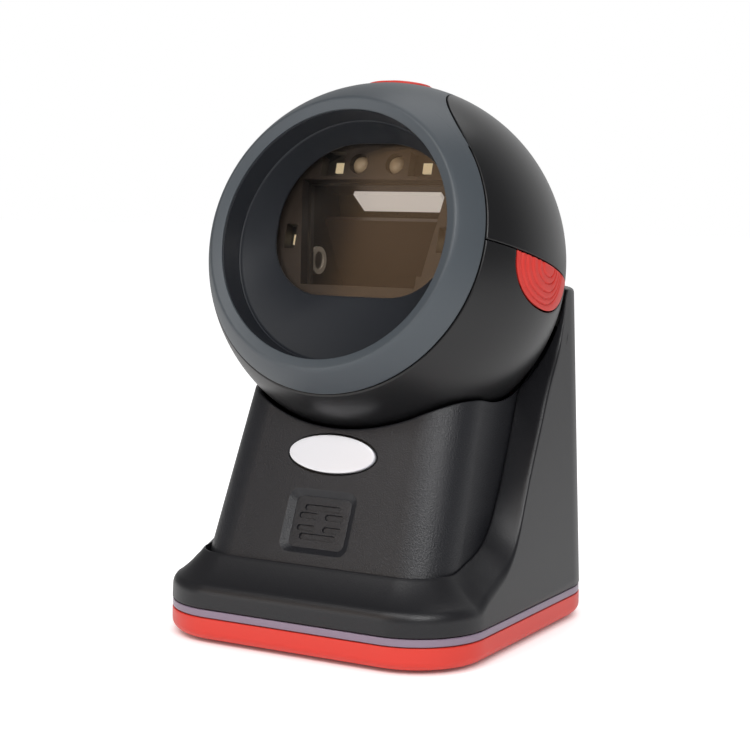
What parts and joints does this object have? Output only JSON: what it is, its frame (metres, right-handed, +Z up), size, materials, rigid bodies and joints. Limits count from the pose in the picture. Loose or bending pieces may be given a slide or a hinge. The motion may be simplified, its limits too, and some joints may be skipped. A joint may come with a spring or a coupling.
{
  "type": "desktop presentation barcode scanner",
  "caption": "Ball-shaped barcode reading head with a wide round window that tilts in a weighted stand, to read codes held in front of it hands-free.",
  "frame": {"origin": "on the table under the middle of the object's box", "axes": "+Z up, the reading face looks along -Y, +X to the object's left as seen from behind it"},
  "size_m": [0.1, 0.1009, 0.1524],
  "materials": {
    "bezel_grey": "satin blue-grey moulding",
    "funnel_dark": "fine matt, navy charcoal",
    "window_clear": "clear acrylic pane, faint warm tint",
    "optics_brown": "dull brown-black moulding",
    "circuit_board": "green solder mask",
    "lamp_dome": "clear warm dome",
    "led_chip": "cream phosphor",
    "mirror_glass": "front-silvered",
    "diffuser_white": "translucent white",
    "screw_steel": "zinc plated",
    "part_black": "matt black",
    "lens_glass": "coated lens",
    "header_nylon": "natural nylon",
    "shell_black": "satin black",
    "grip_red": "soft-touch red, moulded ridges",
    "button_red": "satin red",
    "yoke_steel": "pressed sheet",
    "washer_brass": "spring brass",
    "stand_black": "satin charcoal",
    "cover_grained": "fine moulded grain",
    "badge_white": "plain white oval",
    "speaker_metal": "dark can",
    "strip_violet": "pale violet translucent",
    "base_red": "satin red",
    "foot_rubber": "soft pads",
    "ballast_iron": "plain plate"
  },
  "bodies": {
    "stand": {"pivot_yoke": "yoke_steel", "pivot_pin_left": "screw_steel", "pivot_pin_right": "screw_steel", "friction_washer_left": "washer_brass", "friction_washer_right": "washer_brass", "stand_shell": "stand_black", "front_cover": "cover_grained", "badge": "badge_white", "speaker_grille": "cover_grained", "speaker": "speaker_metal", "light_strip": "strip_violet", "base_plate": "base_red", "foot_front_left": "foot_rubber", "foot_front_right": "foot_rubber", "foot_rear_left": "foot_rubber", "foot_rear_right": "foot_rubber", "ballast_plate": "ballast_iron", "interface_board": "circuit_board", "cable_socket": "part_black", "base_lead_header": "header_nylon", "base_screw_1": "screw_steel", "base_screw_2": "screw_steel", "base_screw_3": "screw_steel", "base_screw_4": "screw_steel", "yoke_screw_1": "screw_steel", "yoke_screw_2": "screw_steel", "yoke_screw_3": "screw_steel", "yoke_screw_4": "screw_steel"},
    "head": {"front_bezel": "bezel_grey", "aperture_funnel": "funnel_dark", "scan_window": "window_clear", "optical_frame": "optics_brown", "led_board": "circuit_board", "dome_lamp_left": "lamp_dome", "dome_lamp_right": "lamp_dome", "top_led_left": "led_chip", "top_led_right": "led_chip", "side_led_left": "led_chip", "side_led_right": "led_chip", "optics_chassis": "optics_brown", "fold_mirror": "mirror_glass", "light_panel": "diffuser_white", "tab_screw": "screw_steel", "camera_module": "part_black", "camera_lens": "lens_glass", "decoder_board": "circuit_board", "head_lead_header": "header_nylon", "upper_shell": "shell_black", "lower_shell": "shell_black", "side_grip_left": "grip_red", "side_grip_right": "grip_red", "button_switch": "part_black", "switch_board": "circuit_board", "shell_screw_left": "screw_steel", "shell_screw_right": "screw_steel", "chassis_screw_left": "screw_steel", "chassis_screw_right": "screw_steel", "pivot_bush_left": "header_nylon", "pivot_bush_right": "header_nylon"},
    "button": {"top_button": "button_red"}
  },
  "joints": [
    {"name": "head_tilt", "type": "hinge", "parent": "stand", "child": "head", "pos_m": [0, 0.0005, 0.102], "axis": [1, 0, 0], "range_deg": [-15, 20]},
    {"name": "button_press", "type": "slide", "parent": "head", "child": "button", "axis": [0, 0.2773, 0.9608], "range_m": [-0.0012, 0], "stiffness_N_per_m": 700, "springref_m": 0.0004}
  ]
}
